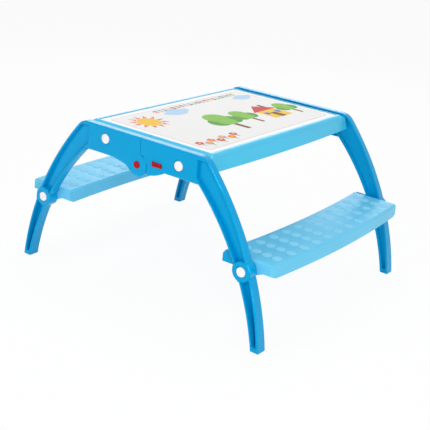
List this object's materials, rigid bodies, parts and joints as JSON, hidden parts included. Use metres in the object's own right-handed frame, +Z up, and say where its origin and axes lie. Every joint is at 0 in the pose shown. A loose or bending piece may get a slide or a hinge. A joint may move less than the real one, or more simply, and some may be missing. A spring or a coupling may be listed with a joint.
{
  "type": "children's study table with attached benches",
  "caption": "Low folding table on arched ribbed legs that carry a bench along each side; the halves fold about knuckles in the side frames and slide locks hold them open.",
  "frame": {"origin": "on the floor in the middle of the table", "axes": "+Z up, +X towards the right bench, +Y away from the viewer along the benches"},
  "size_m": [0.866, 0.722, 0.452],
  "materials": {
    "frame_blue": "satin moulded",
    "light_blue": "satin moulded",
    "printed_board": "printed and laminated",
    "cap_white": "gloss",
    "lock_red": "gloss",
    "bolt_grey": "matte",
    "screw_steel": "zinc plated"
  },
  "bodies": {
    "right_half": {"near_right_frame": "frame_blue", "far_right_frame": "frame_blue", "right_panel": "light_blue", "right_bench": "light_blue", "right_leg_caps": "cap_white", "right_plate_caps": "cap_white", "right_bench_screws": "screw_steel", "right_panel_screws": "screw_steel", "hinge_pins": "lock_red", "pin_rings": "screw_steel"},
    "left_half": {"near_left_frame": "frame_blue", "far_left_frame": "frame_blue", "left_panel": "light_blue", "left_bench": "light_blue", "left_leg_caps": "cap_white", "left_plate_caps": "cap_white", "left_bench_screws": "screw_steel", "left_panel_screws": "screw_steel"},
    "near_lock": {"near_lock_thumb": "lock_red", "near_lock_bolt": "bolt_grey"},
    "far_lock": {"far_lock_thumb": "lock_red", "far_lock_bolt": "bolt_grey"},
    "board": {"table_board": "printed_board"}
  },
  "joints": [
    {"name": "fold", "type": "hinge", "parent": "right_half", "child": "left_half", "pos_m": [-0.008, 0, 0.378], "axis": [0, -1, 0], "range_deg": [0, 88]},
    {"name": "near_lock_slide", "type": "slide", "parent": "right_half", "child": "near_lock", "axis": [-1, 0, 0], "range_m": [0, 0.008]},
    {"name": "far_lock_slide", "type": "slide", "parent": "right_half", "child": "far_lock", "axis": [-1, 0, 0], "range_m": [0, 0.008]},
    {"name": "board_lift", "type": "slide", "parent": "right_half", "child": "board", "axis": [0, 0, 1], "range_m": [0, 0.06]}
  ]
}
